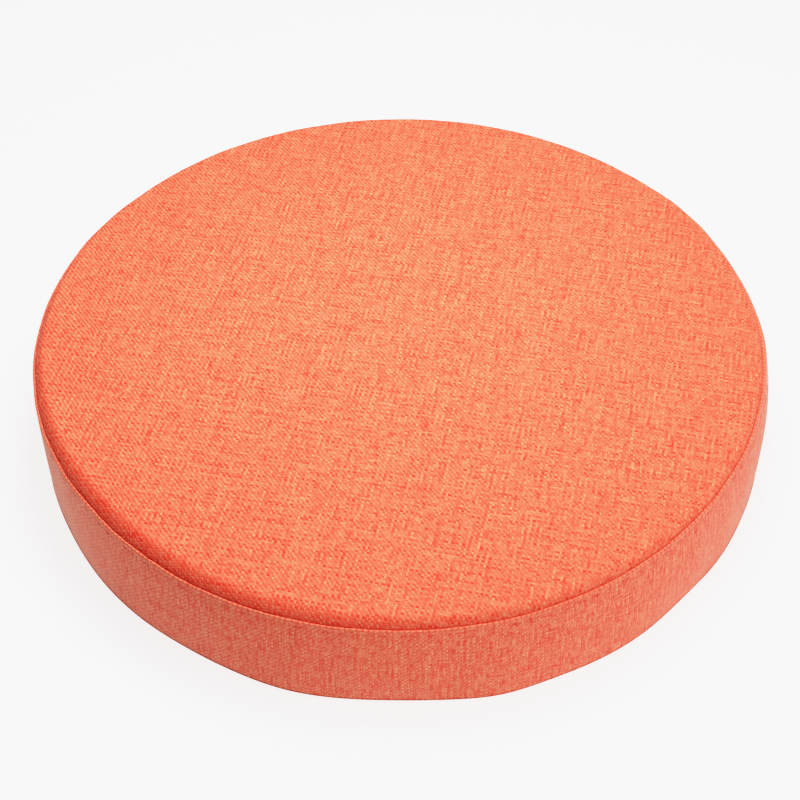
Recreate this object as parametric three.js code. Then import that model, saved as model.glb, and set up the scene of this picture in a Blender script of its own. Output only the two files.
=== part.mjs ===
// Round boxed outdoor chair cushion in a coarse plain-weave cloth, in millimetres, +Z up.
// It lies on its bottom panel on Z = 0, with the middle of its box on the Z axis, and its front faces -Y.
// The filled body carries the side strip as its wall. The top and bottom panels are sheets sewn to it
// at the two seams, and every piece stands a small gap clear of the next one.
// An azimuth is in degrees, anticlockwise from +X seen from above, so the front is at -90.

import * as THREE from 'three';

// Driving sizes
const OUTER_RADIUS = 200;         // widest reach of the side strip, before its soft corners
const TOP_HEIGHT = 63;            // base to the middle of the crown
const RIM_HEIGHT = 60;            // base to the edge of the crown where the roll is slack
const CROWN_POWER = 2.4;          // above 2 the middle is flatter and the edge falls faster
const CLOTH = 2;                  // panel with the wadding that moves with it
const GAP = 0.3;                  // clear distance between neighbouring pieces
const SIDES = 120;                // steps round the rim

// Top seam, a ring that sits slightly off centre, as the cover was pulled on
const SEAM_RADIUS = 197.7;
const SEAM_SHIFT = { x: -0.45, y: 1.5 };
const SEAM_DEPTH = 3.2;           // below the rim height
const SEAM_TUCK = 2.2;            // how far the panel's edge runs in past the seam
const SEAM_FOLD = 0.5;            // radius of the fold at the panel's edge

// Roll of the top panel down to the seam, slack on the right and full at the front left
const ROLL_RUN = 3.2;             // how far in from the seam the roll begins
const ROLL_MORE = 5;              // how much wider it is where it is full
const SWELL = 2.3;                // how much higher the rim stands there

// Side strip: its folded upper lip, its drawn-in ends and its lower lip
const LIP = [
  { out: 1.45, up: -1.1, fullness: 0.8 },
  { out: 0.85, up: -0.1, fullness: 0 },
  { out: 0.3, up: -0.4, fullness: 0 },
];
const WALL_HEAD_DROP = 1.6;       // from the seam down to the strip's wall
const WALL_FOOT_RISE = 1;         // from the bottom seam up to the strip's wall
const STRIP_DRAW_IN = 0.6;        // the wall at the seams against its middle
const STRIP_LEAN_POWER = 1.5;     // how late on its way up the wall leans in to the lip
const BASE_SEAM_HEIGHT = 2.2;     // bottom seam above the floor
const BASE_ROLL = 1.6;            // radius of the bottom panel's turned-up edge

// Soft corners, where the filling pushes out between flatter stretches of the rim
const BASE_MEAN = 0.8;            // taken off the base all round, so that its corners keep the outer size
const BASE_CORNERS = [
  { azimuth: -152, width: 12, size: -0.9 },
  { azimuth: -140, width: 9, size: 0.2 },
  { azimuth: -123, width: 6, size: -0.4 },
  { azimuth: -106, width: 8, size: 1.5 },
  { azimuth: -91, width: 6, size: -0.5 },
  { azimuth: -76, width: 6.5, size: 2.1 },
  { azimuth: -56, width: 9, size: 0.8 },
  { azimuth: -42, width: 7, size: -1.2 },
  { azimuth: -12, width: 13, size: 2.0 },
  { azimuth: 9, width: 13, size: 1.5 },
  { azimuth: 45, width: 30, size: 1.0 },
  { azimuth: 130, width: 30, size: 1.0 },
];
const SEAM_CORNERS = [
  { azimuth: -35, width: 30, size: -2.7 },
  { azimuth: 33, width: 11, size: 1.5 },
  { azimuth: 62, width: 45, size: 0.6 },
  { azimuth: 122, width: 12, size: 0.4 },
  { azimuth: 158, width: 20, size: 0.6 },
];

// Where the roll is full, where the wall stays upright to the lip, and where its shoulder stands out
const FULL_ROLL = [{ azimuth: -132, width: 50, size: 1 }];
const UPRIGHT_WALL = [{ azimuth: -3, width: 20, size: 7 }];
const STRIP_SHOULDER = [{ azimuth: 2, width: 13, size: 1.5 }];

// Where the crown, the wall and the curves are stepped
const CROWN_STEPS = [0, 0.3, 0.55, 0.75, 0.9];
const WALL_STEPS = [0, 0.1, 0.3, 0.5, 0.7, 0.85, 0.94, 1];
const ROLL_ANGLES = [0, 22, 45, 68, 90];
const FOLD_ANGLES = [-90, -45];

const radians = THREE.MathUtils.degToRad;
const cosine = (azimuth) => Math.cos(radians(azimuth));
const sine = (azimuth) => Math.sin(radians(azimuth));

// Sum of a table's bell curves at an azimuth
function bells(table, azimuth) {
  let sum = 0;
  for (const bell of table) {
    const away = ((azimuth - bell.azimuth + 540) % 360) - 180;
    sum += bell.size * Math.exp(-((away / bell.width) ** 2));
  }
  return sum;
}

// Local sizes of the rim at an azimuth
const seamRadius = (azimuth) =>
  SEAM_RADIUS + SEAM_SHIFT.x * cosine(azimuth) + SEAM_SHIFT.y * sine(azimuth) + bells(SEAM_CORNERS, azimuth);
const baseRadius = (azimuth) => OUTER_RADIUS - STRIP_DRAW_IN - BASE_MEAN + bells(BASE_CORNERS, azimuth);
const rimHeight = (azimuth) => RIM_HEIGHT + SWELL * bells(FULL_ROLL, azimuth);
const rollRun = (azimuth) => ROLL_RUN + ROLL_MORE * bells(FULL_ROLL, azimuth);
const SEAM_HEIGHT = RIM_HEIGHT - SEAM_DEPTH;

// Crown height at an azimuth and a share of the way from the middle to the start of the roll
const crownHeight = (azimuth, share) => TOP_HEIGHT - (TOP_HEIGHT - rimHeight(azimuth)) * share ** CROWN_POWER;

// Top panel at an azimuth, from the middle of its underside out to the seam, up the roll, which is a
// quarter ellipse, and back over the crown
function topPanelProfile(azimuth) {
  const seam = seamRadius(azimuth);
  const rollStart = seam - rollRun(azimuth);
  const profile = [...CROWN_STEPS, 1].map((share) => [share * rollStart, crownHeight(azimuth, share) - CLOTH]);
  profile.push([seam - SEAM_TUCK, SEAM_HEIGHT - SEAM_FOLD]);
  for (const angle of FOLD_ANGLES) {
    profile.push([seam - SEAM_FOLD + SEAM_FOLD * cosine(angle), SEAM_HEIGHT + SEAM_FOLD * sine(angle)]);
  }
  for (const angle of ROLL_ANGLES) {
    const rise = (rimHeight(azimuth) - SEAM_HEIGHT) * sine(angle);
    profile.push([rollStart + rollRun(azimuth) * cosine(angle), SEAM_HEIGHT + rise]);
  }
  for (const share of [...CROWN_STEPS].reverse()) {
    profile.push([share * rollStart, crownHeight(azimuth, share)]);
  }
  return profile;
}

// Filled body at an azimuth, from the middle of its underside out to the lower lip, up the wall,
// over the upper lip into the seam, and back under the top panel
function filledBodyProfile(azimuth) {
  const base = baseRadius(azimuth);
  const seam = seamRadius(azimuth);
  const shoulder = bells(STRIP_SHOULDER, azimuth);
  const wallFoot = BASE_SEAM_HEIGHT + WALL_FOOT_RISE;
  const wallHead = SEAM_HEIGHT - WALL_HEAD_DROP;
  const headRadius = seam + LIP[0].out + shoulder;
  const lean = STRIP_LEAN_POWER + bells(UPRIGHT_WALL, azimuth);
  const profile = [
    [0, CLOTH + GAP],
    [base - BASE_ROLL - SEAM_TUCK, CLOTH + GAP],
    [base - BASE_ROLL, BASE_SEAM_HEIGHT + GAP],
    [base - BASE_ROLL / 3, BASE_SEAM_HEIGHT + 2 * GAP],
  ];
  for (const share of WALL_STEPS) {
    const bulge = 4 * STRIP_DRAW_IN * share * (1 - share);
    const radius = base + (headRadius - base) * share ** lean + bulge;
    profile.push([radius, wallFoot + (wallHead - wallFoot) * share]);
  }
  for (const row of LIP) {
    profile.push([seam + row.out + shoulder * row.fullness, SEAM_HEIGHT + row.up]);
  }
  profile.push([seam - GAP, SEAM_HEIGHT - SEAM_FOLD - GAP]);
  profile.push([seam - SEAM_TUCK - GAP, SEAM_HEIGHT - SEAM_FOLD - GAP]);
  const rollStart = seam - rollRun(azimuth) - GAP;
  for (const share of [1, ...[...CROWN_STEPS].reverse()]) {
    profile.push([share * rollStart, crownHeight(azimuth, share) - CLOTH - GAP]);
  }
  return profile;
}

// Bottom panel at an azimuth, flat on the floor, with its edge turned up to the bottom seam
function bottomPanelProfile(azimuth) {
  const flat = baseRadius(azimuth) - 2 * BASE_ROLL;
  const profile = [[0, 0], [flat / 2, 0], [flat, 0]];
  for (const angle of [-60, -30, 0]) {
    profile.push([flat + BASE_ROLL * cosine(angle), BASE_ROLL * (1 + sine(angle))]);
  }
  profile.push([flat + BASE_ROLL - GAP, BASE_SEAM_HEIGHT]);
  profile.push([flat, CLOTH], [flat / 2, CLOTH], [0, CLOTH]);
  return profile;
}

// Closed surface round Z whose profile changes with the azimuth. Each profile starts and ends on the
// axis, at one height all round, and runs anticlockwise in radius and height, so that faces point out.
function unevenLathe(profileAt) {
  const positions = [];
  const indices = [];
  const first = profileAt(0);
  const rings = first.length - 2;
  for (let side = 0; side < SIDES; side += 1) {
    const azimuth = (360 * side) / SIDES;
    const profile = profileAt(azimuth);
    for (let ring = 1; ring <= rings; ring += 1) {
      const [radius, height] = profile[ring];
      positions.push(radius * cosine(azimuth), radius * sine(azimuth), height);
    }
  }
  const lowPole = SIDES * rings;
  const highPole = lowPole + 1;
  positions.push(0, 0, first[0][1], 0, 0, first[rings + 1][1]);
  for (let side = 0; side < SIDES; side += 1) {
    const here = side * rings;
    const next = ((side + 1) % SIDES) * rings;
    indices.push(lowPole, next, here);
    for (let ring = 0; ring < rings - 1; ring += 1) {
      indices.push(here + ring, next + ring, next + ring + 1);
      indices.push(here + ring, next + ring + 1, here + ring + 1);
    }
    indices.push(here + rings - 1, next + rings - 1, highPole);
  }
  const geometry = new THREE.BufferGeometry();
  geometry.setAttribute('position', new THREE.Float32BufferAttribute(positions, 3));
  geometry.setIndex(indices);
  geometry.computeVertexNormals();
  return geometry;
}

// Woven cloths: the panels are brighter than the side strip, whose yarns are seen at a flatter angle
const cloth = (color) => new THREE.MeshStandardMaterial({ color, roughness: 0.95, metalness: 0 });
const topCloth = cloth(0xff7a4f);
const sideCloth = cloth(0xe07a62);
const baseCloth = cloth(0xf0704a);

function piece(name, profileAt, material) {
  const mesh = new THREE.Mesh(unevenLathe(profileAt), material);
  mesh.name = name;
  return mesh;
}

const cushion = new THREE.Group();
cushion.add(piece('top_panel', topPanelProfile, topCloth));
cushion.add(piece('filled_body', filledBodyProfile, sideCloth));
cushion.add(piece('bottom_panel', bottomPanelProfile, baseCloth));

// The uneven rim moves the middle of the box by a fraction of a millimetre, which is taken back here
const middle = new THREE.Box3().setFromObject(cushion, true).getCenter(new THREE.Vector3());
cushion.position.set(-middle.x, -middle.y, 0);

export default cushion;
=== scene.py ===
"""Round boxed outdoor chair cushion in a coarse two-tone plain weave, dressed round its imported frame.

The cushion is a crowned top panel that rolls over the rim, an upright side strip with the folded lips of
its two seams, and a flat bottom panel. Lengths are in metres. An azimuth is in degrees, anticlockwise from
+X seen from above, and the front faces -Y, at -90.
"""

import math

import bpy
import numpy as np
from bpy.props import FloatProperty, FloatVectorProperty, PointerProperty
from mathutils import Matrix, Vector


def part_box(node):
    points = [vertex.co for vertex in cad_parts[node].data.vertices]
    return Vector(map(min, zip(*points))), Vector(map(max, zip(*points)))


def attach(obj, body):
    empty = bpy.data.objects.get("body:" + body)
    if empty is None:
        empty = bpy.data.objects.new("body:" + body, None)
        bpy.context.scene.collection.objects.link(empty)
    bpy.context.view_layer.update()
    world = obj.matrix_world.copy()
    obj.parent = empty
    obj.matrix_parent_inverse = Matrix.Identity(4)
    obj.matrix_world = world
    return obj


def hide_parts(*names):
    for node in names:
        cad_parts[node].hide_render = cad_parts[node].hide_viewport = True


bl_info = {
    "name": "Round chair cushion",
    "version": (1, 0, 0),
    "blender": (4, 5, 0),
    "location": "View3D > Sidebar > Cushion",
    "description": "Makes a round boxed cushion in a coarse plain weave",
    "category": "Add Mesh",
}

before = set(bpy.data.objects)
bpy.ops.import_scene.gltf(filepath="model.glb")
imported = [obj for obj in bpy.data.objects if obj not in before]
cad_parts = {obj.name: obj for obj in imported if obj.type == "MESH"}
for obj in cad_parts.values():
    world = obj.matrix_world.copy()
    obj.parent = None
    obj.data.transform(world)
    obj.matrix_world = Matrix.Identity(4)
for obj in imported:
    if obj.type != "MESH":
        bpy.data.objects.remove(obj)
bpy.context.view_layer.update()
TOP_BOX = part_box("top_panel")
BODY_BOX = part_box("filled_body")
BASE_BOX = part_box("bottom_panel")

MM = 0.001
COLUMNS = 1920                    # steps round the rim on the side strip
PANEL_COLUMNS = 960               # steps round the rim on the panels
GAP = 0.3 * MM                    # clear distance between neighbouring pieces
SEAM_TUCK = 2.2 * MM              # how far a panel's edge runs in past the seam
STRIP_TUCK = 2.4 * MM             # how far the strip's upper edge runs in past the seam
SEAM_ASIDE = 0.45 * MM            # how far the top seam is pulled to the left
EDGE_FOLD = 0.6 * MM              # radius of the fold at the top panel's edge
EDGE_DROP = 0.3 * MM              # the top panel's hidden edge below the seam
HEAD_DROP = 1.6 * MM              # from the top seam down to the strip's wall
FOOT_RISE = 1 * MM                # from the bottom seam up to the strip's wall
CORNER_MEAN = 0.8 * MM            # taken off the base all round, so that its corners keep the outer size
CROWN_POWER = 2.4                 # above 2 the middle is flatter and the edge falls faster
LEAN_POWER = 1.5                  # how late on its way up the wall leans in to the lip
ROLL_END = 40                     # where the seam cuts off the roll's ellipse, in degrees up from its foot

# Soft corners, where the filling pushes out between flatter stretches of the rim. They are the frame's
# own, with two more at the base's front right, one more in the seam, and two that differ a little.
BASE_CORNERS = (
    {"azimuth": -152, "width": 12, "out": -0.9 * MM},
    {"azimuth": -140, "width": 9, "out": 0.2 * MM},
    {"azimuth": -123, "width": 6, "out": -0.4 * MM},
    {"azimuth": -106, "width": 8, "out": 1.5 * MM},
    {"azimuth": -91, "width": 6, "out": -0.5 * MM},
    {"azimuth": -76, "width": 6.5, "out": 2.1 * MM},
    {"azimuth": -66, "width": 8, "out": 0.6 * MM},
    {"azimuth": -56, "width": 9, "out": 1.1 * MM},
    {"azimuth": -42, "width": 7, "out": -1.2 * MM},
    {"azimuth": -35, "width": 10, "out": 0.95 * MM},
    {"azimuth": -12, "width": 13, "out": 2.0 * MM},
    {"azimuth": 9, "width": 13, "out": 1.5 * MM},
    {"azimuth": 45, "width": 30, "out": 1.0 * MM},
    {"azimuth": 130, "width": 30, "out": 1.0 * MM},
)
SEAM_CORNERS = (
    {"azimuth": -141, "width": 18, "out": -1.6 * MM},
    {"azimuth": -35, "width": 30, "out": -2.7 * MM},
    {"azimuth": 33, "width": 11, "out": 1.5 * MM},
    {"azimuth": 68, "width": 45, "out": 1.1 * MM},
    {"azimuth": 122, "width": 12, "out": 0.4 * MM},
    {"azimuth": 158, "width": 20, "out": 0.6 * MM},
)

# Where the roll is full, which also sets where it gets the most painted shade, where the wall stays upright
# to the lip, and where its shoulder stands out
FULL_ROLL = ({"azimuth": -132, "width": 50, "out": 1.0},)
UPRIGHT_WALL = ({"azimuth": -3, "width": 20, "out": 7.0},)
STRIP_SHOULDER = ({"azimuth": 2, "width": 13, "out": 1.5 * MM},)

# Folded upper lip of the side strip, as places out from the top seam and up from it. The crest is how far
# the colour of the lip's beads shows, tuck how far painted shade darkens the cloth where it turns
# in under the top panel, and the fullness how far the strip's shoulder moves the place.
LIP = (
    {"out": 1.45 * MM, "up": -1.1 * MM, "crest": 0.25, "tuck": 0.0, "fullness": 0.8},
    {"out": 1.35 * MM, "up": -0.6 * MM, "crest": 0.65, "tuck": 0.0, "fullness": 0.4},
    {"out": 1.12 * MM, "up": -0.22 * MM, "crest": 0.95, "tuck": 0.0, "fullness": 0.1},
    {"out": 0.82 * MM, "up": -0.05 * MM, "crest": 1.0, "tuck": 0.0, "fullness": 0.0},
    {"out": 0.5 * MM, "up": -0.12 * MM, "crest": 0.8, "tuck": 0.0, "fullness": 0.0},
    {"out": 0.22 * MM, "up": -0.3 * MM, "crest": 0.2, "tuck": 0.3, "fullness": 0.0},
    {"out": -0.06 * MM, "up": -0.4 * MM, "crest": 0.0, "tuck": 0.7, "fullness": 0.0},
)

# Lower lip of the side strip, as places out from the base ring and up from the bottom seam
LOWER_LIP = (
    {"out": -0.5 * MM, "up": 0.3 * MM},
    {"out": 0.1 * MM, "up": 0.5 * MM},
    {"out": 0.3 * MM, "up": 0.9 * MM},
)

# Small unevenness: the seed, the least and most waves round the rim or a wave's length, and the root mean
# square. The gathers' own size is one of the shape's.
SEAM_OUT_RIPPLE = {"seed": 6, "waves": (12, 50), "rms": 0.08 * MM}
SEAM_UP_RIPPLE = {"seed": 5, "waves": (9, 40), "rms": 0.1 * MM}
GATHER_RIPPLE = {"seed": 21, "waves": (60, 170)}
DENT_RIPPLE = {"seed": 31, "waves": (60, 190), "rms": 1.0}
STRIP_RIPPLE = {"seed": 32, "waves": (14, 60), "rms": 0.1 * MM}
CROWN_LUMPS = {"seed": 11, "wave": 0.11, "rms": 0.25 * MM}

# Row of small dents below the lip, where the seam's allowance ends inside
DENT_DROP = 1.6 * MM              # from the wall's head down to the dents
DENT_REACH = 0.9 * MM             # how far up and down a dent reaches
DENT_DEPTH = 0.3 * MM             # how far it pulls the wall in

# Steps of the surfaces, as shares of the way out or up
CROWN_SHARES = np.concatenate([np.linspace(0.02, 0.9, 26), np.linspace(0.92, 1.0, 8)])
UNDER_SHARES = np.linspace(0.1, 1.0, 6)
WALL_SHARES = np.concatenate([np.linspace(0, 0.06, 4)[:-1], np.linspace(0.06, 0.88, 14)[:-1],
                              np.linspace(0.88, 1.0, 11)])
BASE_SHARES = np.linspace(0.1, 1.0, 12)

# Painted shade: how far the colour is darkened and deepened where shade falls, in the seam's crease, under
# the lips, in the dents and on the full roll, which faces away from the light
ROLL_PAINTED_SHADE = 0.56                 # in the roll where it is full
ROLL_SHADE_REACH = 0.55                # share of the way down the roll where it has all of that
SEAM_PAINTED_SHADE = 0.55                 # in the seam where the roll is slack; where it is full it is 1
UNDER_PAINTED_SHADE = 0.6                  # on the strip from its lower lip inwards
DENT_PAINTED_SHADE = 0.4                   # in a full dent


def size(name, description, value, **more):
    """A length that a user would change."""
    return FloatProperty(name=name, description=description, default=value, unit="LENGTH",
                         subtype="DISTANCE", precision=5, **more)


def colour(name, description, value):
    """A linear colour that a user would change."""
    return FloatVectorProperty(name=name, description=description, default=value, subtype="COLOR",
                               min=0.0, max=1.0, size=3)


def amount(name, description, value, low=0.0, high=1.0):
    """A plain number that a user would change."""
    return FloatProperty(name=name, description=description, default=value, min=low, max=high)


class CushionShape(bpy.types.PropertyGroup):
    """Sizes of the sewn cushion."""

    radius: size("Outer radius", "Widest reach of the side strip", 200 * MM)
    height: size("Height", "Floor to the top of the crown", TOP_BOX[1].z)
    crown: size("Crown", "Rise of the middle above the rim", 3 * MM)
    cloth: size("Cloth", "Thickness of a panel with the wadding that moves with it", 2 * MM)
    roll_run: size("Roll run", "How far in from the seam the top panel begins to roll over", 3.2 * MM)
    roll_more: size("Full roll", "How much wider the roll is where it is fullest", 5 * MM)
    swell: size("Swell", "How much higher the roll stands where it is fullest", 2.3 * MM)
    seam_radius: size("Seam radius", "Radius of the top seam", 197.7 * MM)
    seam_shift: size("Seam shift", "How far the top seam is pulled to the back", 1.5 * MM)
    seam_depth: size("Seam depth", "Top seam below the rim height", 3.2 * MM)
    strip_bulge: size("Strip bulge", "Middle of the side strip against its sewn ends", 0.6 * MM)
    base_seam: size("Base seam", "Bottom seam above the floor", BASE_BOX[1].z)
    base_roll: size("Base roll", "Radius of the bottom panel's turned-up edge", 1.6 * MM)
    pucker: size("Pucker", "Height of the small gathers along the seams", 0.1 * MM)


class ClothLook(bpy.types.PropertyGroup):
    """Yarns and colours of the cloth, with the colours of its painted shade and painted sheen."""

    yarn_warp: size("Warp pitch", "Distance between neighbouring warp yarns", 1.418 * MM)
    yarn_weft: size("Weft pitch", "Distance between neighbouring weft yarns", 1.39 * MM)
    pale: colour("Pale yarn", "Light peach yarn", (1.0, 0.345, 0.175))
    deep: colour("Deep yarn", "Saturated orange-red yarn", (0.93, 0.041, 0.016))
    # painted sheen: a dull greyish veil mixed over the side strip's colour, standing in for the paler look
    # that light glancing off its fibres gives
    sheen_haze: colour("Dusty yarn", "Dull haze of fibres over the side strip", (0.6, 0.32, 0.24))
    lip_high: colour("Lip bead", "Yarn on the crest of the folded lip", (1.0, 0.25, 0.13))
    lip_low: colour("Lip gap", "Between the beads of the lip", (0.88, 0.06, 0.025))
    # painted shade: this colour multiplies the cloth where the tuck mark is set, in the seam's crease, under
    # the lips, in the dents and on the roll's shaded side
    tuck: colour("Tuck", "What is left of the colour in the tuck of a seam", (0.92, 0.26, 0.22))
    tremble: amount("Tremble", "How far a yarn strays from its line over a few crossings", 0.65)
    shade: amount("Gap shade", "How dark the gaps between yarns are", 0.2)


class StageSetup(bpy.types.PropertyGroup):
    """Camera, floor and lights."""

    distance: size("Camera distance", "Camera to the point that it looks at", 0.95)
    elevation: FloatProperty(name="Elevation", description="Camera above the floor's plane",
                             default=math.radians(45.57), unit="ROTATION", subtype="ANGLE")
    lens: FloatProperty(name="Lens", description="Focal length on a sensor 36 mm wide", default=77.63,
                        unit="CAMERA")
    key: FloatProperty(name="Key light", description="Power of the soft light on the right", default=12.7,
                       unit="POWER")
    top: FloatProperty(name="Top light", description="Power of the small soft light overhead", default=3.3,
                       unit="POWER")
    ceiling: FloatProperty(name="Ceiling light", description="Power of the wide soft light overhead",
                           default=5.0, unit="POWER")
    sky: amount("Sky", "Strength of the even light from all round", 0.05, 0.0, 5.0)
    floor: colour("Floor", "Pale floor", (0.3, 0.3, 0.3))
    glow: amount("Floor glow", "Light that the lit table under the cushion gives off", 0.95, 0.0, 5.0)


# Unevenness

def corners_out(corners, azimuth):
    """Outward push at each azimuth: the sum of the corners' bell curves."""
    out = np.zeros_like(azimuth)
    for corner in corners:
        away = (azimuth - corner["azimuth"] + 540) % 360 - 180
        out += corner["out"] * np.exp(-((away / corner["width"]) ** 2))
    return out


def ripple(azimuth, seed, waves, rms):
    """Periodic unevenness round the rim: a sum of 24 cosines with whole numbers of waves between two
    limits, seeded sizes and phases, scaled to a root mean square."""
    draw = np.random.default_rng(seed)
    cosines = 24
    counts = draw.integers(waves[0], waves[1] + 1, cosines)
    sizes = draw.uniform(0.4, 1.0, cosines)
    phases = draw.uniform(0, 2 * np.pi, cosines)
    angle = np.radians(azimuth)
    total = sum(s * np.cos(c * angle + p) for c, s, p in zip(counts, sizes, phases))
    return total * rms / np.sqrt(np.mean(total ** 2))


def undulation(x, y, seed, wave, rms):
    """Soft lumps over a panel: a sum of 14 plane cosine waves in seeded directions, with lengths round the
    given one, scaled to a root mean square."""
    draw = np.random.default_rng(seed)
    total = np.zeros_like(x)
    cosines = 14
    for _ in range(cosines):
        turn = draw.uniform(0, np.pi)
        length = wave * draw.uniform(0.7, 1.6)
        phase = draw.uniform(0, 2 * np.pi)
        total += np.cos(2 * np.pi * (x * np.cos(turn) + y * np.sin(turn)) / length + phase)
    return total * rms / math.sqrt(cosines / 2)


# Rim: the local sizes at each azimuth

def rim_at(shape, columns):
    """Local sizes of the rim on an even grid of azimuths that starts and ends at the back, as arrays of
    one value a column: the even size plus its corners' bell curves and its ripples."""
    azimuth = np.arange(columns) * 360.0 / columns - 270.0
    across = np.cos(np.radians(azimuth))
    along = np.sin(np.radians(azimuth))
    seam = shape.seam_radius + shape.seam_shift * along - SEAM_ASIDE * across
    rim_height = shape.height - shape.crown
    full = corners_out(FULL_ROLL, azimuth)
    return {
        "azimuth": azimuth, "across": across, "along": along, "full": full,
        "rim_height": rim_height + shape.swell * full,
        "roll": shape.roll_run + shape.roll_more * full,
        "seam": seam + corners_out(SEAM_CORNERS, azimuth) + ripple(azimuth, **SEAM_OUT_RIPPLE),
        "seam_z": np.full(columns, rim_height - shape.seam_depth) + ripple(azimuth, **SEAM_UP_RIPPLE),
        "shoulder": corners_out(STRIP_SHOULDER, azimuth),
        "base": shape.radius - shape.strip_bulge - CORNER_MEAN + corners_out(BASE_CORNERS, azimuth),
    }


def wall_radius(shape, rim, share):
    """Radius of the side strip at shares of its way up, columns by shares: from the base ring to the lip,
    leaning in by the share to a power, plus a parabola between its drawn-in ends. Where the power is high
    the wall stays upright and rounds in only below the lip."""
    base = rim["base"][:, None]
    head = (rim["seam"] + rim["shoulder"])[:, None] + LIP[0]["out"]
    power = LEAN_POWER + corners_out(UPRIGHT_WALL, rim["azimuth"])[:, None]
    return base + (head - base) * share ** power + 4 * shape.strip_bulge * share * (1 - share)


def rim_shift(shape):
    """The small move that puts the uneven rim's box where the frame has it."""
    rim = rim_at(shape, 720)
    widest = wall_radius(shape, rim, np.linspace(0, 1, 9)).max(1)
    x, y = widest * rim["across"], widest * rim["along"]
    middle = (BODY_BOX[0] + BODY_BOX[1]) / 2
    return middle.x - (x.max() + x.min()) / 2, middle.y - (y.max() + y.min()) / 2


# Surfaces

def arc(centre_r, centre_z, run, drop, angles):
    """Part of an ellipse in radius and height for each column: centre plus run times the cosine and drop
    times the sine of each angle. Returns two arrays, columns by angles."""
    angle = np.radians(np.asarray(angles, float))[None, :]
    return (np.asarray(centre_r)[:, None] + np.asarray(run)[:, None] * np.cos(angle),
            np.asarray(centre_z)[:, None] + np.asarray(drop)[:, None] * np.sin(angle))


def points_at(*pairs):
    """Single profile points given as (radius, height), each a value or one value a column."""
    count = max(np.size(v) for pair in pairs for v in pair)
    radius = np.stack([np.broadcast_to(r, count) for r, z in pairs], 1)
    height = np.stack([np.broadcast_to(z, count) for r, z in pairs], 1)
    return radius, height


def joined(*parts):
    """Profiles one after the other: each is a pair of arrays, columns by points."""
    return np.concatenate([p[0] for p in parts], 1), np.concatenate([p[1] for p in parts], 1)


def ring_faces(columns, rows, uv):
    """Faces over a ring of points that run row by row in each column, with a low and a high pole after
    them: a quad between neighbouring columns and rows, and a fan of triangles round each pole. Returns the
    faces' corners, where each face starts among them, and the corners' places on the flat map."""
    low, high = columns * rows, columns * rows + 1
    here = np.arange(columns)
    after = (here + 1) % columns
    row = np.arange(rows - 1)
    quads = np.stack([here[:, None] * rows + row, after[:, None] * rows + row,
                      after[:, None] * rows + row + 1, here[:, None] * rows + row + 1], 2).reshape(-1, 4)
    low_fan = np.stack([np.full(columns, low), after * rows, here * rows], 1)
    high_fan = np.stack([here * rows + rows - 1, after * rows + rows - 1, np.full(columns, high)], 1)
    loops = np.concatenate([quads.ravel(), low_fan.ravel(), high_fan.ravel()])
    starts = np.concatenate([np.arange(len(quads)) * 4,
                             len(quads) * 4 + np.arange(2 * columns) * 3])
    uv_here, uv_next = uv[:-1], uv[1:]
    quad_uv = np.stack([uv_here[:, :-1], uv_next[:, :-1], uv_next[:, 1:], uv_here[:, 1:]], 2).reshape(-1, 2)
    low_mid, high_mid = uv[:, 0].mean(0), uv[:, -1].mean(0)
    low_uv = np.stack([np.tile(low_mid, (columns, 1)), uv_next[:, 0], uv_here[:, 0]], 1).reshape(-1, 2)
    high_uv = np.stack([uv_here[:, -1], uv_next[:, -1], np.tile(high_mid, (columns, 1))], 1).reshape(-1, 2)
    return loops, starts, np.concatenate([quad_uv, low_uv, high_uv])


def ring_piece(name, rim, radius, height, uv, poles, material, marks):
    """Closed surface round the Z axis. Radius and height, columns by rows, are turned to the columns'
    azimuths, and the first and last rows close on a pole each. uv is columns + 1 by rows by 2, so that a
    pattern may run on where the ring closes. marks are named values from 0 to 1 at each point, columns by
    rows, which the cloth's colour reads."""
    columns, rows = radius.shape
    shift_x, shift_y = rim_shift(bpy.context.scene.cushion_shape)
    grid = np.stack([radius * rim["across"][:, None] + shift_x, radius * rim["along"][:, None] + shift_y,
                     height], 2)
    ends = np.array([[shift_x, shift_y, poles[0]], [shift_x, shift_y, poles[1]]])
    points = np.concatenate([grid.reshape(-1, 3), ends])
    loops, starts, loop_uv = ring_faces(columns, rows, uv)
    mesh = bpy.data.meshes.new(name)
    mesh.vertices.add(len(points))
    mesh.vertices.foreach_set("co", points.ravel())
    mesh.loops.add(len(loops))
    mesh.loops.foreach_set("vertex_index", loops)
    mesh.polygons.add(len(starts))
    mesh.polygons.foreach_set("loop_start", starts)
    layer = mesh.uv_layers.new(name="cloth_flat")
    layer.data.foreach_set("uv", loop_uv.ravel())
    mesh.update(calc_edges=True)
    mesh.validate()
    mesh.shade_smooth()
    for mark, values in marks.items():
        attribute = mesh.attributes.new(mark, "FLOAT", "POINT")
        spread = np.broadcast_to(values, radius.shape)
        attribute.data.foreach_set("value", np.concatenate([spread.ravel(), [0.0, 0.0]]))
    piece = bpy.data.objects.new(name, mesh)
    bpy.context.scene.collection.objects.link(piece)
    mesh.materials.append(material)
    return piece


def closing_columns(values):
    """Repeats the first column after the last."""
    return np.concatenate([values, values[:1]], 0)


# Filling

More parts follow.
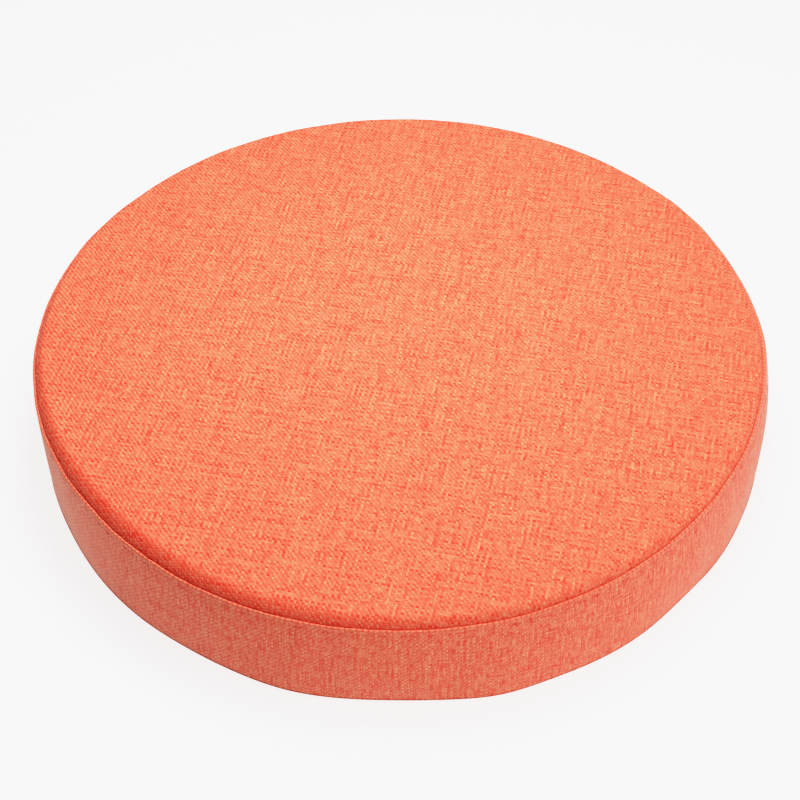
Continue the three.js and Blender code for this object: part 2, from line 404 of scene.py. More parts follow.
FORM_COLUMNS = 120                # steps round the rim on the simulated form
VOXEL = 5 * MM                    # size of the simulated cover's faces
HELD_BAND = 4 * MM                # how near to the base or a seam the cover is held
PRESSURE = 4
PUFF_FRAMES = 20
MOST_MOVE = 5 * MM                # a point's move is cut to this
CROWN_WAVES = 8                   # finest unevenness kept over the crown, in waves round it
WALL_WAVES = 30                   # the same along the side strip
EVEN_CROWN_TERMS = 3              # first terms of the fit, which the crown has already
EVEN_WALL_TERMS = 1               # the same along the side strip
WALL_GAIN = 5.0                   # the strip is softer than the simulated cover
SWELL = {}                        # fitted unevenness of the crown and the wall, once the filling is in


def crown_terms(share, azimuth):
    """Smooth basis over the crown: powers of the share of the way out, times whole waves round it. The
    first three are the even rise, which the crown has already."""
    angle = np.radians(azimuth)
    terms = [share ** power for power in (0, 2, 4)]
    for wave in range(1, CROWN_WAVES + 1):
        for power in (0, 2):
            edge = share ** (min(wave, 3) + power) * (1 - share ** 8)
            terms += [edge * np.cos(wave * angle), edge * np.sin(wave * angle)]
    return np.stack(terms, -1)


def wall_terms(share, azimuth):
    """Smooth basis over the side strip: nought at both seams, times whole waves round it. The first is the
    even bulge, which the strip has already."""
    angle = np.radians(azimuth)
    middle = np.sin(np.pi * share)
    terms = [middle]
    for wave in range(1, WALL_WAVES + 1):
        terms += [middle * np.cos(wave * angle), middle * np.sin(wave * angle)]
    return np.stack(terms, -1)


def filling_form(shape, rim):
    """Plain closed profile of the filled cover for the simulation: flat base, wall, roll and a flat top."""
    share = np.linspace(0, 1, 6)
    base, seam, rim_z = rim["base"], rim["seam"], rim["rim_height"]
    foot = shape.base_seam + FOOT_RISE
    wall = (wall_radius(shape, rim, share), foot + (rim["seam_z"] - foot)[:, None] * share)
    start = seam - rim["roll"]
    lower = points_at((base * 0.2, 0.0), (base * 0.6, 0.0), (base - shape.base_roll, 0.0))
    upper = points_at((seam - 0.2 * rim["roll"], rim_z - 1 * MM), (start, rim_z), (start * 0.6, rim_z),
                      (start * 0.2, rim_z))
    return joined(lower, wall, upper)


def points_of(mesh):
    """Places of a mesh's points, one row each."""
    places = np.zeros(len(mesh.vertices) * 3)
    mesh.vertices.foreach_get("co", places)
    return places.reshape(-1, 3)


def plain_cover(context, shape, rim):
    """The cover's plain form, and the cover that is remeshed from it in even faces."""
    profile = filling_form(shape, rim)
    flat = np.zeros((FORM_COLUMNS + 1, profile[0].shape[1], 2))
    form = ring_piece("filling_form", rim, *profile, flat, (0.0, rim["rim_height"].mean()), None, {})
    even = form.modifiers.new("even", "REMESH")
    even.mode = "VOXEL"
    even.voxel_size = VOXEL
    mesh = bpy.data.meshes.new_from_object(form.evaluated_get(context.evaluated_depsgraph_get()))
    cover = bpy.data.objects.new("filling_cover", mesh)
    context.scene.collection.objects.link(cover)
    return form, cover


def blown_up(context, cover, held):
    """Moves of the cover's points when it is blown up by an even pressure, with some points held."""
    before = points_of(cover.data)
    group = cover.vertex_groups.new(name="held")
    group.add(np.flatnonzero(held).tolist(), 1.0, "REPLACE")
    cloth = cover.modifiers.new("filling", "CLOTH").settings
    cloth.quality = 5
    cloth.mass = 0.3
    cloth.use_pressure = True
    cloth.uniform_pressure_force = PRESSURE
    cloth.vertex_group_mass = "held"
    cloth.effector_weights.gravity = 0
    for step in range(1, PUFF_FRAMES + 1):
        context.scene.frame_set(step)
    puffed = cover.evaluated_get(context.evaluated_depsgraph_get())
    moved = np.clip(points_of(puffed.to_mesh()) - before, -MOST_MOVE, MOST_MOVE)
    puffed.to_mesh_clear()
    context.scene.frame_set(1)
    return moved


class CUSHION_OT_filling(bpy.types.Operator):
    """Blow up the cover by a cloth simulation, held at its seams, and note how unevenly it swells"""

    bl_idname = "cushion.filling"
    bl_label = "Filling"

    def execute(self, context):
        shape = context.scene.cushion_shape
        rim = rim_at(shape, FORM_COLUMNS)
        form, cover = plain_cover(context, shape, rim)
        places = points_of(cover.data)
        shift = rim_shift(shape)
        x, y, z = places[:, 0] - shift[0], places[:, 1] - shift[1], places[:, 2]
        out, azimuth = np.hypot(x, y), np.degrees(np.arctan2(y, x))
        seam_z = rim["seam_z"].mean()
        held = (z < HELD_BAND) | ((out > 0.95 * shape.radius) & (abs(z - seam_z) < HELD_BAND))
        moved = blown_up(context, cover, held)
        top = (z > seam_z + 2 * MM) & ~held
        edge = shape.seam_radius - shape.roll_run
        terms = crown_terms(np.clip(out[top] / edge, 0, 1), azimuth[top])
        SWELL["crown"] = np.linalg.lstsq(terms, moved[top, 2], rcond=None)[0]
        SWELL["crown"][:EVEN_CROWN_TERMS] = 0
        side = (out > 0.9 * shape.radius) & ~held & ~top
        push = (moved[:, 0] * x + moved[:, 1] * y)[side] / out[side]
        SWELL["wall"] = np.linalg.lstsq(wall_terms(z[side] / seam_z, azimuth[side]), push, rcond=None)[0]
        SWELL["wall"][:EVEN_WALL_TERMS] = 0
        for made in (form, cover):
            data = made.data
            bpy.data.objects.remove(made)
            bpy.data.meshes.remove(data)
        return {"FINISHED"}


def crown_swell(share, azimuth):
    """Uneven rise of the crown at shares of the way out."""
    return crown_terms(share, azimuth) @ SWELL["crown"] if SWELL else 0.0


def wall_swell(share, azimuth):
    """Uneven bulge of the side strip at shares of its way up."""
    return WALL_GAIN * (wall_terms(share, azimuth) @ SWELL["wall"]) if SWELL else 0.0


# Cloth material

NOISE_LOW, NOISE_HIGH = 0.22, 0.78    # a soft noise is nearly always between these


class Pattern:
    """Short words for the nodes of a material."""

    def __init__(self, tree):
        self.tree = tree

    def node(self, kind, **settings):
        made = self.tree.nodes.new(kind)
        for key, value in settings.items():
            setattr(made, key, value)
        return made

    def put(self, socket, value):
        if isinstance(value, bpy.types.NodeSocket):
            self.tree.links.new(value, socket)
        else:
            socket.default_value = value

    def math(self, operation, a, b=0.0, c=0.0, clamp=False):
        made = self.node("ShaderNodeMath", operation=operation, use_clamp=clamp)
        for socket, value in zip(made.inputs, (a, b, c)):
            self.put(socket, value)
        return made.outputs[0]

    def point(self, x, y, z=0.0):
        made = self.node("ShaderNodeCombineXYZ")
        for socket, value in zip(made.inputs, (x, y, z)):
            self.put(socket, value)
        return made.outputs[0]

    def noise_node(self, point, scale, detail, roughness):
        made = self.node("ShaderNodeTexNoise", noise_dimensions="2D")
        self.put(made.inputs["Vector"], point)
        made.inputs["Scale"].default_value = scale
        made.inputs["Detail"].default_value = detail
        made.inputs["Roughness"].default_value = roughness
        return made

    def noise(self, point, scale=1.0, detail=0.0, roughness=0.5):
        return self.noise_node(point, scale, detail, roughness).outputs["Fac"]

    def swing(self, point, size):
        """Soft noise that swings between minus and plus a size."""
        return self.ramp(self.noise(point), NOISE_LOW, NOISE_HIGH, -size, size)

    def wander(self, point, scale, detail):
        """Two soft noises round nought, one for each direction."""
        parts = self.node("ShaderNodeSeparateColor")
        self.put(parts.inputs[0], self.noise_node(point, scale, detail, 0.5).outputs["Color"])
        return [self.math("SUBTRACT", part, 0.5) for part in parts.outputs[:2]]

    def tint(self, value, powers):
        """Colour whose red, green and blue are the value to a power each."""
        made = self.node("ShaderNodeCombineColor")
        for socket, power in zip(made.inputs, powers):
            self.put(socket, self.math("POWER", value, power))
        return made.outputs[0]

    def mix(self, factor, a, b, blend="MIX"):
        made = self.node("ShaderNodeMix", data_type="RGBA", blend_type=blend)
        self.put(made.inputs[0], factor)
        self.put(made.inputs[6], a)
        self.put(made.inputs[7], b)
        return made.outputs[2]

    def ramp(self, value, low, high, start=0.0, stop=1.0):
        made = self.node("ShaderNodeMapRange", interpolation_type="SMOOTHSTEP")
        for socket, number in zip(made.inputs, (value, low, high, start, stop)):
            self.put(socket, number)
        return made.outputs[0]


# Distances in the noise from one yarn to the next. Over 1 neighbouring yarns differ, and under 1 a few of
# them share a band. The strands' is read across the yarn, so that a yarn has several.
SLUB_STEP = 7.31
FLECK_STEP = 3.17
PLY_STEP = 5.17
BAND_STEP = 0.55
STRAND_STEP = 1.7

WANDER_SCALE = 28                 # soft bends of the yarns, in noise cells a metre
TREMBLE_SCALE = 190               # small bends over a few crossings
BLOTCH_SCALE = 30                 # soft blotches of colour
YARN_ROUNDNESS = 0.6              # under 1 a yarn's back is flatter
YARN_MEAN, YARN_SWING = 0.58, 0.42    # a yarn's height on its way over and under the others
CROSSING_BLEND = 0.08             # difference in height over which one yarn gives way to the other
GAP_DEPTH = (0.15, 0.75)          # heights between which the gap's shade fades
GAP_POWERS = (0.45, 1.0, 1.1)     # gaps lose less red, as light goes from yarn to yarn in them
DEEPER_GAP_SHADE = 0.35                 # how much deeper the gaps' painted shade is where painted shade falls
TUCK_BUMP = 0.3                   # how much more the bump is there
CROWN_SHADE_SHARE = 0.8                  # share of the painted shade on the crowns of the yarns
LIP_BEADS = 0.7                   # how far the beads cover the lip's own weave
FIBRE_BUMP = 0.25                 # fine fibres against the height of the yarns


def paleness(p, weave, family, yarn, across, length, offset):
    """Share of the pale colour along one family's yarns: long slubs, paler and deeper turns of opposite
    sign in each pair of neighbouring yarns, short flecks, bands of a few neighbouring yarns, the streaks of
    single strands and the family's own base."""
    def streaks(row, step, start, reach):
        return p.point(p.math("MULTIPLY_ADD", row, step, start), p.math("MULTIPLY", length, 1 / reach))

    slubs = p.swing(streaks(yarn, SLUB_STEP, offset, weave["slub_length"]), family["slub"])
    flecks = p.swing(streaks(yarn, FLECK_STEP, offset + 40, weave["fleck_length"]), family["fleck"])
    bands = p.swing(streaks(across, BAND_STEP, offset + 70, weave["slub_length"]), family["band"])
    strands = p.swing(streaks(across, STRAND_STEP, offset, weave["strand_length"]), weave["strand"])
    half = p.math("MULTIPLY", yarn, 0.5)
    pair = p.math("FLOOR", half)
    plies = p.swing(streaks(pair, PLY_STEP, offset + 20, weave["slub_length"]), family["ply"])
    sign = p.math("MULTIPLY_ADD", p.math("SUBTRACT", half, pair), -4.0, 1.0)
    slubs = p.math("MULTIPLY_ADD", plies, sign, slubs)
    return p.math("ADD", p.math("ADD", p.math("ADD", slubs, flecks), bands),
                  p.math("ADD", strands, family["pale"]))


def yarn_height(p, count, yarn, across, swing, mean):
    """Height of one family's yarns: the sine of their count rounds each one, and the cosine of the other
    family's count, turned round for every second yarn, lifts it over one crossing and dips it under the
    next."""
    half_turns = p.math("MULTIPLY", count, math.pi)
    back = p.math("POWER", p.math("ABSOLUTE", p.math("SINE", half_turns)), YARN_ROUNDNESS)
    crossing = p.math("ADD", p.math("SUBTRACT", across, 0.5), yarn)
    rise = p.math("COSINE", p.math("MULTIPLY", crossing, math.pi))
    return p.math("MULTIPLY", back, p.math("MULTIPLY_ADD", rise, swing, mean))


def folded_colour(p, look, yarn, height, tuck, u):
    """Colour of the yarns with their gaps shaded, with beads of one yarn over the next on the strip's lip,
    and darkened by painted shade where the tuck mark is set, a little less on the yarns' crowns."""
    gap = p.ramp(height, *GAP_DEPTH, p.math("MULTIPLY_ADD", tuck, -DEEPER_GAP_SHADE, 1 - look.shade), 1.0)
    shaded = p.mix(1.0, yarn, p.tint(gap, GAP_POWERS), "MULTIPLY")
    lip = p.node("ShaderNodeAttribute", attribute_name="lip").outputs["Fac"]
    bead = p.ramp(p.math("ABSOLUTE", p.math("SINE", p.math("MULTIPLY", u, math.pi / 2))), 0.25, 0.8)
    beaded = p.mix(bead, (*look.lip_low, 1), (*look.lip_high, 1))
    lipped = p.mix(p.math("MULTIPLY", lip, LIP_BEADS), shaded, beaded)
    # painted shade, a little less on the yarns' crowns
    shade_amount = p.math("MULTIPLY", tuck, p.ramp(height, 0.5, 0.95, 1.0, CROWN_SHADE_SHARE))
    return p.mix(shade_amount, lipped, p.mix(1.0, lipped, (*look.tuck, 1), "MULTIPLY"))


def cloth_shader(p, weave, base_colour, height, tuck):
    """Matt cloth with a sheen, and a bump of its yarns and their fibres."""
    bump = p.node("ShaderNodeBump")
    p.put(bump.inputs["Strength"], p.math("MULTIPLY_ADD", tuck, TUCK_BUMP, weave["bump"]))
    bump.inputs["Distance"].default_value = 0.35 * MM
    p.put(bump.inputs["Height"], height)
    shader = p.node("ShaderNodeBsdfPrincipled")
    shader.inputs["Roughness"].default_value = 0.9
    shader.inputs["Specular IOR Level"].default_value = 0.2
    shader.inputs["Sheen Weight"].default_value = weave["sheen"]
    shader.inputs["Sheen Roughness"].default_value = 0.35
    shader.inputs["Sheen Tint"].default_value = (1.0, 0.93, 0.76, 1)
    p.put(shader.inputs["Base Color"], base_colour)
    p.put(shader.inputs["Normal"], bump.outputs[0])
    output = p.node("ShaderNodeOutputMaterial")
    p.put(output.inputs["Surface"], shader.outputs[0])


def woven_cloth(name, look, weave):
    """Plain weave of two yarn families on the piece's own flat map, in yarn counts u and v. A warp yarn
    stands highest along its middle and where u's and v's whole parts add to an even number, a weft yarn
    where they add to an odd one, and the higher one shows. Each yarn has its own paleness along its length
    and each crossing its own chance, which mix the pale and the deep colour. A painted highlight along the
    floats, which the yarns' twist leans, makes the diagonals where u and v add up to the same number, or
    differ by it, stand out. On the side strip a painted sheen veil is mixed over the colour. The mark
    tuck on the mesh says where painted shade darkens the cloth, in creases and on the roll's
    shaded side, and the mark lip where the lip's beads show."""
    material = bpy.data.materials.new(name)
    material.use_nodes = True
    tree = material.node_tree
    tree.nodes.clear()
    p = Pattern(tree)
    mapping = p.node("ShaderNodeMapping")
    p.put(mapping.inputs["Vector"], p.node("ShaderNodeUVMap", uv_map="cloth_flat").outputs[0])
    mapping.inputs["Rotation"].default_value = (0, 0, -weave["turn"])
    turned = mapping.outputs[0]
    parts = p.node("ShaderNodeSeparateXYZ")
    p.put(parts.inputs[0], turned)
    wander = p.wander(turned, WANDER_SCALE, 1.0)
    tremble = p.wander(turned, TREMBLE_SCALE, 0.0)
    u, v = (p.math("MULTIPLY_ADD", parts.outputs[side], 1 / pitch,
                   p.math("MULTIPLY_ADD", tremble[side], look.tremble, wander[side]))
            for side, pitch in enumerate((look.yarn_warp, look.yarn_weft)))
    i = p.math("FLOOR", u)
    j = p.math("FLOOR", v)
    chance = p.node("ShaderNodeTexWhiteNoise", noise_dimensions="2D")
    p.put(chance.inputs["Vector"], p.point(i, j))

    high_warp = yarn_height(p, u, i, v, YARN_SWING, YARN_MEAN + weave["cover"])
    high_weft = yarn_height(p, v, j, u, -YARN_SWING, YARN_MEAN)
    height = p.math("MAXIMUM", high_warp, high_weft)
    share = p.node("ShaderNodeMix", data_type="FLOAT")
    p.put(share.inputs[0], p.ramp(p.math("SUBTRACT", high_warp, high_weft), -CROSSING_BLEND, CROSSING_BLEND))
    p.put(share.inputs[2], paleness(p, weave, weave["weft"], j, v, u, weave["seed"] + 91))
    p.put(share.inputs[3], paleness(p, weave, weave["warp"], i, u, v, weave["seed"]))

    blotch = p.ramp(p.noise(turned, BLOTCH_SCALE, 2.0, 0.55), 0.3, 0.7, -weave["blotch"], weave["blotch"])
    spread = p.math("MULTIPLY_ADD", chance.outputs["Value"], 2 * weave["chance"], -weave["chance"])
    # painted highlight along the floats, slanted by the yarns' twist, which fades towards the right
    slant = p.math("MULTIPLY_ADD", v, weave["slant"], u)
    half_turns = p.math("MULTIPLY", p.math("SUBTRACT", slant, (1 + weave["slant"]) / 2), math.pi)
    highlight_here = p.math("MULTIPLY_ADD", parts.outputs[0], -weave["lean_tilt"], weave["lean"])
    leant = p.math("MULTIPLY_ADD", p.math("COSINE", half_turns), highlight_here, share.outputs[0])
    pale_share = p.math("ADD", p.math("ADD", leant, blotch), spread, clamp=True)
    yarn = p.mix(pale_share, (*look.deep, 1), (*look.pale, 1))
    # painted sheen: a greyish veil over the strip's colour, for the paler look of its fibres in glancing
    # light
    yarn = p.mix(weave["sheen_haze"], yarn, (*look.sheen_haze, 1))

    # painted shade: the mark for the seam's crease, the lips, the dents and the roll's shaded side
    tuck = p.node("ShaderNodeAttribute", attribute_name="tuck").outputs["Fac"]
    folded = folded_colour(p, look, yarn, height, tuck, u)
    fibre = p.noise(p.point(p.math("MULTIPLY", u, 3.0), p.math("MULTIPLY", v, 3.0)), 1.0, 2.0)
    cloth_shader(p, weave, folded, p.math("MULTIPLY_ADD", fibre, FIBRE_BUMP, height), tuck)
    return material


# Weave of each piece. turn is its angle on the flat map, and slant the diagonal that the yarns' twist leans
# the floats along; lean is how strongly a painted highlight along them makes that diagonal stand
# out, and lean_tilt how much of that painted highlight is lost a metre towards the right, since
# the light from the right shows the floats' relief most on the left. pale is a family's own share of the pale
# colour, and slub, ply, fleck, band, chance, strand and blotch are swings of it. Their lengths are in yarns.
# cover lifts the warp over the weft, and sheen_haze is the share of the painted sheen veil.
PANEL_WEAVE = {"turn": math.radians(-12.5), "seed": 3.0, "slant": 1, "lean": 0.1, "lean_tilt": 0.38,
               "warp": {"pale": 0.45, "slub": 0.1, "ply": 0.13, "fleck": 0.07, "band": 0.0},
               "weft": {"pale": 0.33, "slub": 0.06, "ply": 0.16, "fleck": 0.1, "band": 0.05},
               "slub_length": 15, "fleck_length": 3.5, "chance": 0.11, "strand": 0.14, "strand_length": 3.5,
               "blotch": 0.006, "cover": 0.0, "bump": 0.4, "sheen": 0.1, "sheen_haze": 0.0}
STRIP_WEAVE = {"turn": 0.0, "seed": 17.0, "slant": -1, "lean": 0.12, "lean_tilt": 0.0,
               "warp": {"pale": 0.42, "slub": 0.08, "ply": 0.19, "fleck": 0.1, "band": 0.06},
               "weft": {"pale": 0.34, "slub": 0.06, "ply": 0.12, "fleck": 0.12, "band": 0.0},
               "slub_length": 12, "fleck_length": 4, "chance": 0.08, "strand": 0.3, "strand_length": 4,
               "blotch": 0.01, "cover": 0.3, "bump": 0.3, "sheen": 0.7, "sheen_haze": 0.06}
BASE_WEAVE = {**PANEL_WEAVE, "turn": 0.0, "seed": 29.0}


# Pieces

def dress(piece, node):
    """The piece stands for the frame's node and rides on the one body."""
    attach(piece, "root")
    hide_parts(node)


def top_panel_surface(shape, rim):
    """Profile of the top panel at each column: under the crown out to its hidden edge, round the turn-in
    at the seam, over the roll and back over the crown. The roll is the upper part of a quarter ellipse,
    which the seam cuts off before it is upright. The crown falls from the middle to the rim's own height
    by the share of the way out to the power CROWN_POWER. Its lumps fade by the share's sixth power."""
    rim_z, seam, seam_z, run = rim["rim_height"], rim["seam"], rim["seam_z"], rim["roll"]
    start = seam - run
    fold = np.full_like(seam, EDGE_FOLD)
    end = math.radians(ROLL_END)
    drop = (rim_z - seam_z) / (1 - math.sin(end))
    top = shape.height

    def crown(share):
        return top - (top - rim_z)[:, None] * share ** CROWN_POWER

    over = CROWN_SHARES
    r_over = start[:, None] * over
    x, y = r_over * rim["across"][:, None], r_over * rim["along"][:, None]
    z_over = crown(over) + (1 - over ** 6) * undulation(x, y, **CROWN_LUMPS)
    z_over = z_over + crown_swell(np.broadcast_to(over, r_over.shape), rim["azimuth"][:, None])
    profile = joined(
        (start[:, None] * UNDER_SHARES, crown(UNDER_SHARES) - shape.cloth),
        points_at((seam - SEAM_TUCK, seam_z - EDGE_DROP)),
        arc(seam - fold, seam_z, fold, fold, (-90, -60, -30)),
        arc(start, rim_z - drop, run / math.cos(end), drop, np.linspace(ROLL_END, 88, 18)),
        (r_over[:, ::-1], z_over[:, ::-1]),
    )
    return profile, (top - shape.cloth, top)


def run_along(radius, height):
    """Length along the profile from the last row back to each row."""
    step = np.hypot(np.diff(radius, axis=1), np.diff(height, axis=1))
    back = np.cumsum(step[:, ::-1], axis=1)[:, ::-1]
    return np.concatenate([back, np.zeros((len(radius), 1))], 1)


def roll_depth(rim, height):
    """How deep each point is in the roll, from 0 at the crown's edge to 1 at the seam."""
    depth = (rim["rim_height"][:, None] - height) / (rim["rim_height"] - rim["seam_z"])[:, None]
    return np.clip(depth, 0, 1)


def roll_painted_shade(rim, radius):
    """How much painted shade each point gets: over the full roll, which faces away from the light, it rises
    smoothly to ROLL_PAINTED_SHADE at ROLL_SHADE_REACH of the way to the seam, and by the fourteenth power
    of that way to its value in the seam's crease."""
    share = np.clip((radius - (rim["seam"] - rim["roll"])[:, None]) / rim["roll"][:, None], 0, 1)
    full = rim["full"][:, None]
    spread = np.clip(share / ROLL_SHADE_REACH, 0, 1)
    # painted shade over the full roll, where it faces away from the light, and in the seam's crease
    roll_shade = ROLL_PAINTED_SHADE * full * spread ** 2 * (3 - 2 * spread)
    return roll_shade + (SEAM_PAINTED_SHADE + (1 - SEAM_PAINTED_SHADE) * full - roll_shade) * share ** 14


class CUSHION_OT_top_panel(bpy.types.Operator):
    """Make the crowned top panel with its roll over the rim"""

    bl_idname = "cushion.top_panel"
    bl_label = "Top panel"

    def execute(self, context):
        shape = context.scene.cushion_shape
        look = context.scene.cushion_cloth
        rim = rim_at(shape, PANEL_COLUMNS)
        (radius, height), poles = top_panel_surface(shape, rim)
        outer = np.arange(radius.shape[1]) > len(UNDER_SHARES)
        gather = ripple(rim["azimuth"], rms=shape.pucker, **GATHER_RIPPLE)[:, None]
        radius = radius + gather * roll_depth(rim, height) * outer
        # painted shade on the roll and in the seam's crease, which the cloth's colour reads
        tuck = outer * roll_painted_shade(rim, radius)
        reach = run_along(radius, height) + radius[:, -1:]
        flat = np.stack([reach * rim["across"][:, None], reach * rim["along"][:, None]], 2)
        cloth = woven_cloth("top_panel_weave", look, PANEL_WEAVE)
        piece = ring_piece("top_panel_cloth", rim, radius, height, closing_columns(flat), poles, cloth,
                           {"tuck": tuck})
        dress(piece, "top_panel")
        return {"FINISHED"}


def side_strip_surface(shape, rim):
    """Profile of the filled side strip at each column: under the base, round the lower lip, up the wall,
    over the folded upper lip and in under the top panel. A row of small dents pulls the wall in below the
    lip: a bell curve over the height times an uneven share round the rim. Returns the profile, its poles
    and its marks."""
    base, seam, seam_z = rim["base"], rim["seam"], rim["seam_z"]
    floor = shape.cloth + GAP
    foot = shape.base_seam + FOOT_RISE
    head = seam_z - HEAD_DROP
    share = WALL_SHARES
    wall_z = foot + (head - foot)[:, None] * share
    pressed = ripple(rim["azimuth"], **DENT_RIPPLE)[:, None]
    dent = np.exp(-((head[:, None] - wall_z - DENT_DROP) / DENT_REACH) ** 2)
    dent = dent * np.clip(0.5 + 0.5 * pressed, 0, 1.5)
    wave = ripple(rim["azimuth"], **STRIP_RIPPLE)[:, None] * np.sin(np.pi * share) ** 0.5
    wall_r = wall_radius(shape, rim, share) - DENT_DEPTH * dent + wave
    wall_r = wall_r + wall_swell(np.broadcast_to(share, wall_r.shape), rim["azimuth"][:, None])
    under = rim["rim_height"] - shape.cloth - GAP
    top = shape.height - shape.cloth - GAP
    start = seam - rim["roll"] - GAP
    fold = [(seam + row["out"] + rim["shoulder"] * row["fullness"], seam_z + row["up"]) for row in LIP]
    lip = points_at(*fold)
    inner = points_at(
        (seam - STRIP_TUCK, seam_z - EDGE_DROP - GAP),
        (start, under),
        (start * 0.6, top - (top - under) * 0.3),
        (start * 0.2, top),
    )
    lower = points_at(
        (base * 0.3, floor),
        (base - shape.base_roll - SEAM_TUCK, floor),
        (base - shape.base_roll, shape.base_seam + GAP),
        *[(base + row["out"], shape.base_seam + row["up"]) for row in LOWER_LIP],
    )
    profile = joined(lower, (wall_r, wall_z), lip, inner)
    wall = slice(lower[0].shape[1], lower[0].shape[1] + len(share))
    crest = np.zeros(profile[0].shape)
    crest[:, wall.stop:wall.stop + len(LIP)] = [row["crest"] for row in LIP]
    # painted shade on the strip: under its lower lip, in the dents and where the upper lip turns in
    tuck = np.zeros(profile[0].shape)
    tuck[:, :wall.start] = UNDER_PAINTED_SHADE
    tuck[:, wall] = DENT_PAINTED_SHADE * np.clip(dent, 0, 1)
    tuck[:, wall.stop:wall.stop + len(LIP)] = [row["tuck"] for row in LIP]
    tuck[:, wall.stop + len(LIP):] = LIP[-1]["tuck"]
    return profile, (floor, top), {"lip": crest, "tuck": tuck}


class CUSHION_OT_side_strip(bpy.types.Operator):
    """Make the filled cushion with the side strip as its wall"""

    bl_idname = "cushion.side_strip"
    bl_label = "Side strip"

    def execute(self, context):
        shape = context.scene.cushion_shape
        look = context.scene.cushion_cloth
        rim = rim_at(shape, COLUMNS)
        (radius, height), poles, marks = side_strip_surface(shape, rim)
        yarns = 2 * round(math.pi * shape.radius / look.yarn_warp)
        around = np.arange(COLUMNS + 1)[:, None] * (yarns * look.yarn_warp / COLUMNS)
        up = closing_columns(-run_along(radius, height))
        flat = np.stack([np.broadcast_to(around, up.shape), up], 2)
        cloth = woven_cloth("side_strip_weave", look, STRIP_WEAVE)
        piece = ring_piece("side_strip_cloth", rim, radius, height, flat, poles, cloth, marks)
        dress(piece, "filled_body")
        return {"FINISHED"}


def bottom_panel_surface(shape, rim):
    """Profile of the bottom panel at each column: flat on the floor, a quarter circle up to the seam at
    its edge, and back over its upper side."""
    base = rim["base"]
    flat = base - 2 * shape.base_roll
    roll = np.full_like(base, shape.base_roll)
    out = (flat[:, None] * BASE_SHARES, np.zeros((len(base), len(BASE_SHARES))))
    back = points_at((flat + shape.base_roll - GAP, shape.base_seam), (flat, shape.cloth),
                     (flat * 0.5, shape.cloth), (flat * 0.1, shape.cloth))
    profile = joined(out, arc(flat, roll, roll, roll, (-75, -60, -45, -30, -15, 0)), back)
    return profile, (0.0, shape.cloth)


class CUSHION_OT_bottom_panel(bpy.types.Operator):
    """Make the flat bottom panel with its turned-up edge"""

    bl_idname = "cushion.bottom_panel"
    bl_label = "Bottom panel"

    def execute(self, context):
        shape = context.scene.cushion_shape
        look = context.scene.cushion_cloth
        rim = rim_at(shape, PANEL_COLUMNS)
        (radius, height), poles = bottom_panel_surface(shape, rim)
        flat = np.stack([radius * rim["across"][:, None], radius * rim["along"][:, None]], 2)
        cloth = woven_cloth("bottom_panel_weave", look, BASE_WEAVE)
        piece = ring_piece("bottom_panel_cloth", rim, radius, height, closing_columns(flat), poles, cloth, {})
        dress(piece, "bottom_panel")
        return {"FINISHED"}


# Stage

FLOOR_HALF = 60.0                 # half the floor's side in metres, which reaches a low view's horizon
BACKDROP = 1.6                    # brightness that a camera sees past the floor, over the sky's own
CAMERA_AIM = Vector((-1.1, -20.3, 29.6)) * MM

# Soft square lights: where each stands, what it faces, its side and its colour. The stage has the powers.
LIGHTS = (
    {"name": "top", "place": (0, 0.05, 0.5), "aim": (0, 0.03, 0.06), "side": 0.3, "tint": (1, 1, 1)},
    {"name": "ceiling", "place": (0, 0, 1.2), "aim": (0, 0, 0), "side": 2.0, "tint": (1, 1, 1)},
    {"name": "key", "place": (1.24, -0.66, 0.7), "aim": (0, 0, 0.03), "side": 0.9, "tint": (0.92, 0.98, 1.0)},
)

# Tone curve, as brightness in the scene against brightness in the picture
FILM_WHITE = 3.2                  # light that comes out as pure white
FILM_TONES = ((0.35, 0.35), (0.7, 0.695), (0.9, 0.815), (1.05, 0.885), (1.2, 0.928),
              (1.45, 0.94), (1.8, 0.948), (2.4, 0.972))


def area_light(name, place, aim, side, tint, power):
    """Square soft light at a place, turned to aim at a point."""
    data = bpy.data.lights.new(f"{name}_light", "AREA")
    data.size = side
    data.energy = power
    data.color = tint
    light = bpy.data.objects.new(f"{name}_light", data)
    light.location = place
    light.rotation_euler = (Vector(aim) - Vector(place)).to_track_quat("-Z", "Y").to_euler()
    light.visible_camera = False
    bpy.context.scene.collection.objects.link(light)


def pale_floor(setup):
    """Lit table under the cushion, wide enough to reach a low view's horizon."""
    half = FLOOR_HALF
    mesh = bpy.data.meshes.new("floor")
    mesh.from_pydata([(-half, -half, 0), (half, -half, 0), (half, half, 0), (-half, half, 0)], [],
                     [(0, 1, 2, 3)])
    floor = bpy.data.objects.new("floor", mesh)
    bpy.context.scene.collection.objects.link(floor)
    material = bpy.data.materials.new("pale_floor")
    material.use_nodes = True
    shader = material.node_tree.nodes["Principled BSDF"]
    shader.inputs["Base Color"].default_value = (*setup.floor, 1)
    shader.inputs["Roughness"].default_value = 0.9
    shader.inputs["Specular IOR Level"].default_value = 0.1
    shader.inputs["Emission Color"].default_value = (1, 1, 1, 1)
    shader.inputs["Emission Strength"].default_value = setup.glow
    mesh.materials.append(material)


def studio_world(setup):
    """Even white light from all round, and a bright backdrop where a low view looks past the floor."""
    world = bpy.data.worlds.new("studio")
    bpy.context.scene.world = world
    world.use_nodes = True
    p = Pattern(world.node_tree)
    seen = p.node("ShaderNodeLightPath").outputs["Is Camera Ray"]
    backdrop = world.node_tree.nodes["Background"]
    backdrop.inputs[0].default_value = (1, 1, 1, 1)
    p.put(backdrop.inputs[1], p.math("MULTIPLY_ADD", seen, BACKDROP, setup.sky))


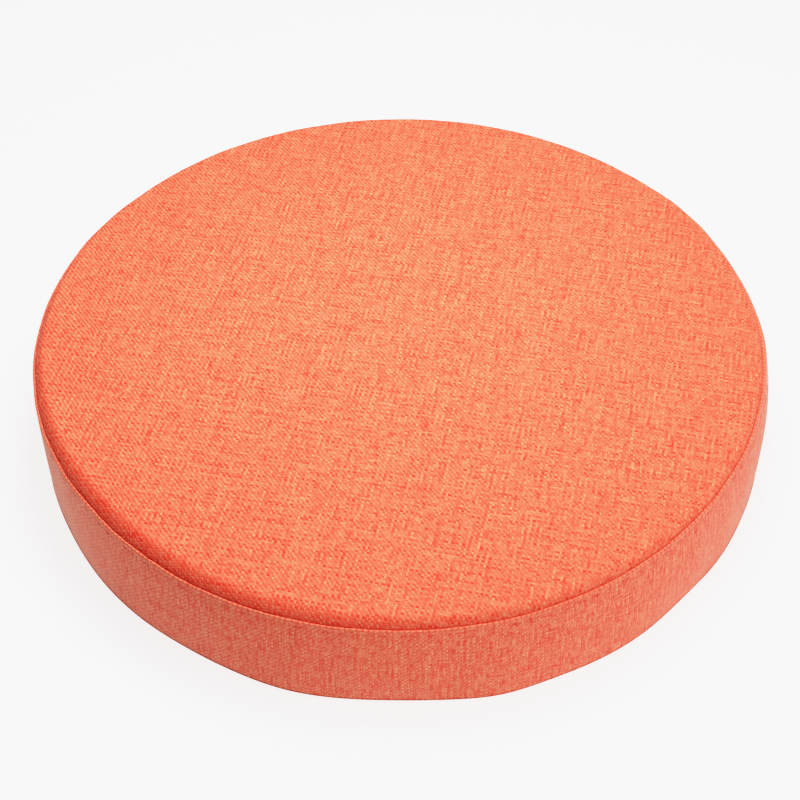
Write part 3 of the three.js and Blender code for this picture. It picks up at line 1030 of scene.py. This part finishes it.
def photo_camera(setup):
    """Camera straight to the front, turned down by its elevation and as far off as its distance."""
    data = bpy.data.cameras.new("camera")
    data.sensor_width = 36
    data.lens = setup.lens
    data.clip_start = 0.05
    camera = bpy.data.objects.new("camera", data)
    back = Vector((0, -math.cos(setup.elevation), math.sin(setup.elevation)))
    camera.location = CAMERA_AIM + back * setup.distance
    camera.rotation_euler = (-back).to_track_quat("-Z", "Y").to_euler()
    bpy.context.scene.collection.objects.link(camera)
    bpy.context.scene.camera = camera


def film_shoulder(view):
    """Tone curve of a photograph: straight up to the paler cloth, then easing over to white."""
    view.use_curve_mapping = True
    mapping = view.curve_mapping
    mapping.white_level = (FILM_WHITE,) * 3
    curve = mapping.curves[3]
    for light, tone in FILM_TONES:
        curve.points.new(light / FILM_WHITE, tone)
    mapping.update()


class CUSHION_OT_stage(bpy.types.Operator):
    """Make the floor, the lights and the camera"""

    bl_idname = "cushion.stage"
    bl_label = "Stage"

    def execute(self, context):
        setup = context.scene.cushion_stage
        pale_floor(setup)
        studio_world(setup)
        for light in LIGHTS:
            area_light(**light, power=getattr(setup, light["name"]))
        photo_camera(setup)
        view = context.scene.view_settings
        view.view_transform = "Standard"
        film_shoulder(view)
        return {"FINISHED"}


class CUSHION_PT_panel(bpy.types.Panel):
    """Sizes, colours and makers of the cushion"""

    bl_idname = "CUSHION_PT_panel"
    bl_label = "Round chair cushion"
    bl_space_type = "VIEW_3D"
    bl_region_type = "UI"
    bl_category = "Cushion"

    def draw(self, context):
        for group in (context.scene.cushion_shape, context.scene.cushion_cloth, context.scene.cushion_stage):
            box = self.layout.box()
            for name in group.bl_rna.properties.keys():
                if name not in ("rna_type", "name"):
                    box.prop(group, name)
        for operator in OPERATORS:
            self.layout.operator(operator.bl_idname)


GROUPS = (CushionShape, ClothLook, StageSetup)
OPERATORS = (CUSHION_OT_stage, CUSHION_OT_filling, CUSHION_OT_top_panel, CUSHION_OT_side_strip,
             CUSHION_OT_bottom_panel)


def register():
    for kind in GROUPS + OPERATORS + (CUSHION_PT_panel,):
        bpy.utils.register_class(kind)
    bpy.types.Scene.cushion_shape = PointerProperty(type=CushionShape)
    bpy.types.Scene.cushion_cloth = PointerProperty(type=ClothLook)
    bpy.types.Scene.cushion_stage = PointerProperty(type=StageSetup)


def unregister():
    del bpy.types.Scene.cushion_stage
    del bpy.types.Scene.cushion_cloth
    del bpy.types.Scene.cushion_shape
    for kind in reversed(GROUPS + OPERATORS + (CUSHION_PT_panel,)):
        bpy.utils.unregister_class(kind)


def main():
    """Makes every piece in order."""
    register()
    bpy.ops.cushion.stage()
    bpy.ops.cushion.filling()
    bpy.ops.cushion.top_panel()
    bpy.ops.cushion.side_strip()
    bpy.ops.cushion.bottom_panel()


if __name__ == "__main__":
    main()
